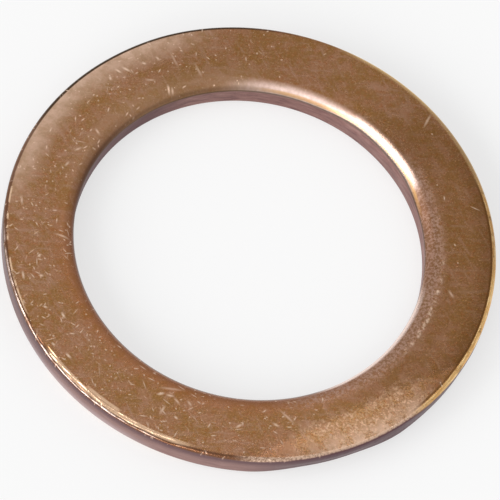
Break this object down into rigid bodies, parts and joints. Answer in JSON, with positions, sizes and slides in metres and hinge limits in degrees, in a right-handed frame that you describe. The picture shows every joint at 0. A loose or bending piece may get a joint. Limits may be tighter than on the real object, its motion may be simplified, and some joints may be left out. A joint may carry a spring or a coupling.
{
  "type": "copper crush washer",
  "caption": "Flat stamped copper ring with a plain bore, rolled edges and two flat faces, crushed under a screw plug or union bolt to seal it.",
  "frame": {"origin": "centre of the bore in the plane of the lower sealing face, on which the washer lies", "axes": "+Z along the bore, out of the face whose bore edge is rolled; X and Y lie in the face"},
  "size_m": [0.0198, 0.0198, 0.0013],
  "materials": {
    "copper": "dull soft copper, as stamped, with handling marks"
  },
  "bodies": {
    "root": {"washer": "copper"}
  },
  "joints": []
}
